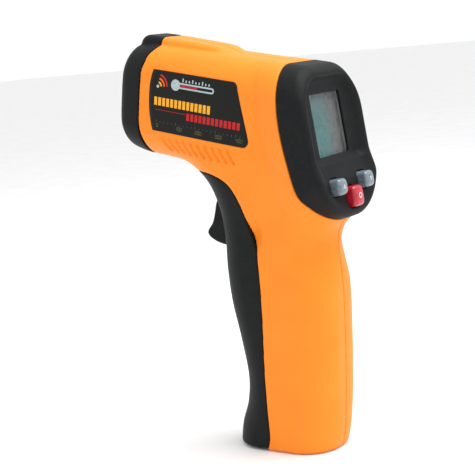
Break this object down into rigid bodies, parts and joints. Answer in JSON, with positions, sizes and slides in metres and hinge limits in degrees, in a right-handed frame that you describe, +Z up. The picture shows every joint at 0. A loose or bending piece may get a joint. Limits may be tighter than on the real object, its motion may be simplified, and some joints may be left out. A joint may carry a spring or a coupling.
{
  "type": "infrared thermometer",
  "caption": "Pistol-grip infrared thermometer: pitched barrel with lens nose and laser ridge, dished rear display with buttons, squeeze trigger and hinged battery door.",
  "frame": {"origin": "centre of the flat base of the grip, where the instrument stands", "axes": "+Z up square to the base; -X the way the lens aims; +X towards the user and the display; -Y the left side"},
  "size_m": [0.0984, 0.0418, 0.1609],
  "materials": {
    "orange_shell": "soft-touch matte",
    "black_plastic": "fine-textured matte",
    "label_film": "satin printed film",
    "clear_window": "clear acrylic",
    "lcd_glass": "polarised display glass",
    "white_plastic": "moulded",
    "elastomer": "striped conductive rubber",
    "circuit_board": "solder mask",
    "component_black": "moulded",
    "steel": "plated",
    "inner_black": "matte black",
    "infrared_film": "milky ribbed film",
    "brass": "turned",
    "cell_jacket": "printed jacket",
    "red_lead": "insulated wire",
    "black_lead": "insulated wire",
    "ribbon": "flat cable",
    "grey_button": "translucent silicone",
    "red_button": "translucent silicone"
  },
  "bodies": {
    "housing": {"left_shell": "orange_shell", "right_shell": "orange_shell", "nose_cap": "black_plastic", "rear_bezel": "black_plastic", "left_label": "label_film", "right_label": "label_film", "display_window": "clear_window", "lcd_cell": "lcd_glass", "lcd_frame": "white_plastic", "contact_strips": "elastomer", "main_board": "circuit_board", "microcontroller": "component_black", "board_components": "component_black", "button_switches": "component_black", "board_screws": "steel", "sensor_tube": "inner_black", "lens_ring": "inner_black", "infrared_lens": "infrared_film", "sensor_can": "steel", "sensor_board": "circuit_board", "sensor_ribbon": "ribbon", "laser_body": "brass", "laser_lens": "lcd_glass", "laser_lead": "red_lead", "battery_holder": "inner_black", "aaa_cell_left": "cell_jacket", "aaa_cell_right": "cell_jacket", "cell_spring_left": "steel", "cell_spring_right": "steel", "contact_plates": "steel", "battery_lead_red": "red_lead", "battery_lead_black": "black_lead", "door_hinge_pin": "steel", "trigger_pin": "steel", "trigger_board": "circuit_board", "trigger_switch": "component_black", "trigger_spring": "steel", "housing_screws": "steel"},
    "door": {"battery_door": "black_plastic"},
    "trigger": {"trigger": "black_plastic"},
    "switch_plunger": {"trigger_plunger": "component_black"},
    "left_key": {"left_button": "grey_button", "left_plunger": "component_black"},
    "right_key": {"right_button": "grey_button", "right_plunger": "component_black"},
    "mode_key": {"mode_button": "red_button", "mode_plunger": "component_black"}
  },
  "joints": [
    {"name": "door_hinge", "type": "hinge", "parent": "housing", "child": "door", "pos_m": [-0.0152, 0, 0.0076], "axis": [0, -1, 0], "range_deg": [0, 60]},
    {"name": "trigger_pivot", "type": "hinge", "parent": "housing", "child": "trigger", "pos_m": [-0.0125, 0, 0.1115], "axis": [0, -1, 0], "range_deg": [0, 4.5], "stiffness_Nm_per_rad": 0.3, "springref_deg": -8.59, "deforming": ["trigger_spring"]},
    {"name": "trigger_switch_travel", "type": "slide", "parent": "housing", "child": "switch_plunger", "axis": [1, 0, 0], "range_m": [0, 0.0025]},
    {"name": "left_button_press", "type": "slide", "parent": "housing", "child": "left_key", "axis": [-0.9942, 0, -0.1075], "range_m": [0, 0.0008], "stiffness_N_per_m": 400, "springref_m": -0.001},
    {"name": "right_button_press", "type": "slide", "parent": "housing", "child": "right_key", "axis": [-0.9942, 0, -0.1075], "range_m": [0, 0.0008], "stiffness_N_per_m": 400, "springref_m": -0.001},
    {"name": "mode_button_press", "type": "slide", "parent": "housing", "child": "mode_key", "axis": [-0.9942, 0, -0.1075], "range_m": [0, 0.0008], "stiffness_N_per_m": 400, "springref_m": -0.001}
  ],
  "couplings": [
    {"joint": "trigger_switch_travel", "follows": "trigger_pivot", "m_per_rad": 0.0275}
  ]
}
